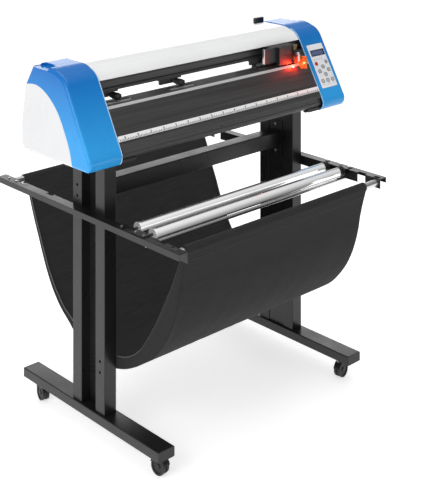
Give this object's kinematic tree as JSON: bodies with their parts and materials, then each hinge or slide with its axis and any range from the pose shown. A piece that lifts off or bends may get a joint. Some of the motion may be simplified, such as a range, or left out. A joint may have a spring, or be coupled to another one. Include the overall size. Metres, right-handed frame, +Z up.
{
  "type": "vinyl cutter",
  "caption": "Floor-standing roll media cutter: end housings, keypad, cutting carriage on a beam, pinch wheels, media rollers and a hanging fabric catch basket",
  "frame": {"origin": "on the floor, midway between the two feet, under the centre of the posts", "axes": "+X to the right of someone standing in front, -Y towards that person, +Z up"},
  "size_m": [1.126, 0.912, 1.149],
  "materials": {
    "black_powder_coat": "semi-gloss black powder coat",
    "black_extrusion": "black anodised extrusion",
    "black_plastic": "fine matt",
    "black_bracket": "satin black",
    "rod_steel": "zinc plated",
    "charcoal_fabric": "woven, matt",
    "roller_chrome": "polished",
    "caster_plastic": "moulded",
    "caster_rubber": "smooth tread",
    "pinch_rubber": "ground",
    "ruler_white": "printed scale",
    "strip_grey": "soft strip",
    "white_plastic": "gloss white",
    "blue_plastic": "gloss blue",
    "keypad_film": "printed membrane",
    "cheek_aluminium": "anodised",
    "blade_brass": "turned",
    "amber_plate": "translucent amber",
    "board_green": "lacquered circuit board"
  },
  "bodies": {
    "machine": {"apron_brackets": "black_plastic", "base_tray": "black_powder_coat", "carriage_beam": "black_extrusion", "carriage_motor": "black_plastic", "caster_stems": "rod_steel", "catch_basket": "charcoal_fabric", "circuit_board": "board_green", "control_panel": "keypad_film", "cross_rods": "rod_steel", "crossbar": "black_powder_coat", "cutting_strip": "strip_grey", "feed_motor": "black_plastic", "foot_caps": "black_plastic", "frame_bolts": "rod_steel", "front_apron": "black_powder_coat", "left_cover": "blue_plastic", "left_foot": "black_powder_coat", "left_panel": "white_plastic", "left_post": "black_powder_coat", "left_rail": "black_powder_coat", "machine_feet": "black_plastic", "platen": "black_extrusion", "rail_screws": "rod_steel", "rear_panel": "black_powder_coat", "right_cover": "blue_plastic", "right_foot": "black_powder_coat", "right_panel": "white_plastic", "right_post": "black_powder_coat", "right_rail": "black_powder_coat", "roller_brackets": "black_powder_coat", "ruler_strip": "ruler_white", "side_plates": "black_powder_coat", "top_cover": "white_plastic"},
    "rear_roller": {"rear_roller": "roller_chrome"},
    "front_roller": {"front_roller": "roller_chrome"},
    "grit_drive": {"grit_shaft": "roller_chrome"},
    "pinch_lever": {"pinch_lever": "black_bracket"},
    "carriage": {"carriage": "black_plastic", "carriage_cheek": "cheek_aluminium", "blade_guard": "amber_plate", "laser_module": "cheek_aluminium"},
    "blade_holder": {"blade_holder": "blade_brass"},
    "power_switch": {"power_switch": "black_plastic"},
    "pinch_unit_1": {"pinch_bracket_1": "black_bracket"},
    "pinch_arm_1": {"pinch_arm_1": "black_plastic"},
    "pinch_wheel_1": {"pinch_wheel_1": "pinch_rubber"},
    "pinch_unit_2": {"pinch_bracket_2": "black_bracket"},
    "pinch_arm_2": {"pinch_arm_2": "black_plastic"},
    "pinch_wheel_2": {"pinch_wheel_2": "pinch_rubber"},
    "pinch_unit_3": {"pinch_bracket_3": "black_bracket"},
    "pinch_arm_3": {"pinch_arm_3": "black_plastic"},
    "pinch_wheel_3": {"pinch_wheel_3": "pinch_rubber"},
    "fork_front_left": {"caster_fork_front_left": "caster_plastic"},
    "wheels_front_left": {"caster_wheels_front_left": "caster_rubber"},
    "fork_rear_left": {"caster_fork_rear_left": "caster_plastic"},
    "wheels_rear_left": {"caster_wheels_rear_left": "caster_rubber"},
    "fork_front_right": {"caster_fork_front_right": "caster_plastic"},
    "wheels_front_right": {"caster_wheels_front_right": "caster_rubber"},
    "fork_rear_right": {"caster_fork_rear_right": "caster_plastic"},
    "wheels_rear_right": {"caster_wheels_rear_right": "caster_rubber"}
  },
  "joints": [
    {"name": "rear_roller_turn", "type": "hinge", "parent": "machine", "child": "rear_roller", "pos_m": [0, -0.213, 0.688], "axis": [1, 0, 0], "continuous": true},
    {"name": "front_roller_turn", "type": "hinge", "parent": "machine", "child": "front_roller", "pos_m": [0, -0.281, 0.688], "axis": [1, 0, 0], "continuous": true},
    {"name": "grit_shaft_turn", "type": "hinge", "parent": "machine", "child": "grit_drive", "pos_m": [0, -0.066, 1.016], "axis": [1, 0, 0], "continuous": true},
    {"name": "caster_swivel_front_left", "type": "hinge", "parent": "machine", "child": "fork_front_left", "pos_m": [-0.404, -0.288, 0.054], "axis": [0, 0, 1], "continuous": true},
    {"name": "caster_roll_front_left", "type": "hinge", "parent": "fork_front_left", "child": "wheels_front_left", "pos_m": [-0.40275, -0.29993, 0.025], "axis": [-0.9945, -0.1045, 0], "continuous": true},
    {"name": "caster_swivel_rear_left", "type": "hinge", "parent": "machine", "child": "fork_rear_left", "pos_m": [-0.408, 0.288, 0.054], "axis": [0, 0, 1], "continuous": true},
    {"name": "caster_roll_rear_left", "type": "hinge", "parent": "fork_rear_left", "child": "wheels_rear_left", "pos_m": [-0.41049, 0.27626, 0.025], "axis": [-0.9781, 0.2079, 0], "continuous": true},
    {"name": "caster_swivel_front_right", "type": "hinge", "parent": "machine", "child": "fork_front_right", "pos_m": [0.396, -0.288, 0.054], "axis": [0, 0, 1], "continuous": true},
    {"name": "caster_roll_front_right", "type": "hinge", "parent": "fork_front_right", "child": "wheels_front_right", "pos_m": [0.40788, -0.28633, 0.025], "axis": [0.1392, -0.9903, 0], "continuous": true},
    {"name": "caster_swivel_rear_right", "type": "hinge", "parent": "machine", "child": "fork_rear_right", "pos_m": [0.404, 0.288, 0.054], "axis": [0, 0, 1], "continuous": true},
    {"name": "caster_roll_rear_right", "type": "hinge", "parent": "fork_rear_right", "child": "wheels_rear_right", "pos_m": [0.3999, 0.29928, 0.025], "axis": [0.9397, 0.342, 0], "continuous": true},
    {"name": "pinch_position_1", "type": "slide", "parent": "machine", "child": "pinch_unit_1", "axis": [1, 0, 0], "range_m": [0, 0.09]},
    {"name": "pinch_tilt_1", "type": "hinge", "parent": "pinch_unit_1", "child": "pinch_arm_1", "pos_m": [-0.375, 0.006, 1.042], "axis": [1, 0, 0], "range_deg": [0, 1.95]},
    {"name": "pinch_roll_1", "type": "hinge", "parent": "pinch_arm_1", "child": "pinch_wheel_1", "pos_m": [-0.375, -0.066, 1.0365], "axis": [1, 0, 0], "continuous": true},
    {"name": "pinch_position_2", "type": "slide", "parent": "machine", "child": "pinch_unit_2", "axis": [1, 0, 0], "range_m": [-0.09, 0.09]},
    {"name": "pinch_tilt_2", "type": "hinge", "parent": "pinch_unit_2", "child": "pinch_arm_2", "pos_m": [-0.117, 0.006, 1.042], "axis": [1, 0, 0], "range_deg": [0, 1.95]},
    {"name": "pinch_roll_2", "type": "hinge", "parent": "pinch_arm_2", "child": "pinch_wheel_2", "pos_m": [-0.117, -0.066, 1.0365], "axis": [1, 0, 0], "continuous": true},
    {"name": "pinch_position_3", "type": "slide", "parent": "machine", "child": "pinch_unit_3", "axis": [1, 0, 0], "range_m": [-0.09, 0.06]},
    {"name": "pinch_tilt_3", "type": "hinge", "parent": "pinch_unit_3", "child": "pinch_arm_3", "pos_m": [0.286, 0.006, 1.042], "axis": [1, 0, 0], "range_deg": [0, 1.95]},
    {"name": "pinch_roll_3", "type": "hinge", "parent": "pinch_arm_3", "child": "pinch_wheel_3", "pos_m": [0.286, -0.066, 1.0365], "axis": [1, 0, 0], "continuous": true},
    {"name": "pinch_lever_turn", "type": "hinge", "parent": "machine", "child": "pinch_lever", "pos_m": [0, 0.074, 1.062], "axis": [1, 0, 0], "range_deg": [-50, 0]},
    {"name": "carriage_travel", "type": "slide", "parent": "machine", "child": "carriage", "axis": [1, 0, 0], "range_m": [-0.64, 0.03]},
    {"name": "blade_drop", "type": "slide", "parent": "carriage", "child": "blade_holder", "axis": [0, 0, 1], "range_m": [-0.003, 0]},
    {"name": "power_rocker", "type": "hinge", "parent": "machine", "child": "power_switch", "pos_m": [0.5585, 0.11, 0.905], "axis": [0, 1, 0], "range_deg": [-8, 8]}
  ],
  "couplings": [
    {"joint": "pinch_tilt_1", "follows": "pinch_lever_turn", "ratio": -0.039},
    {"joint": "pinch_tilt_2", "follows": "pinch_lever_turn", "ratio": -0.039},
    {"joint": "pinch_tilt_3", "follows": "pinch_lever_turn", "ratio": -0.039}
  ]
}
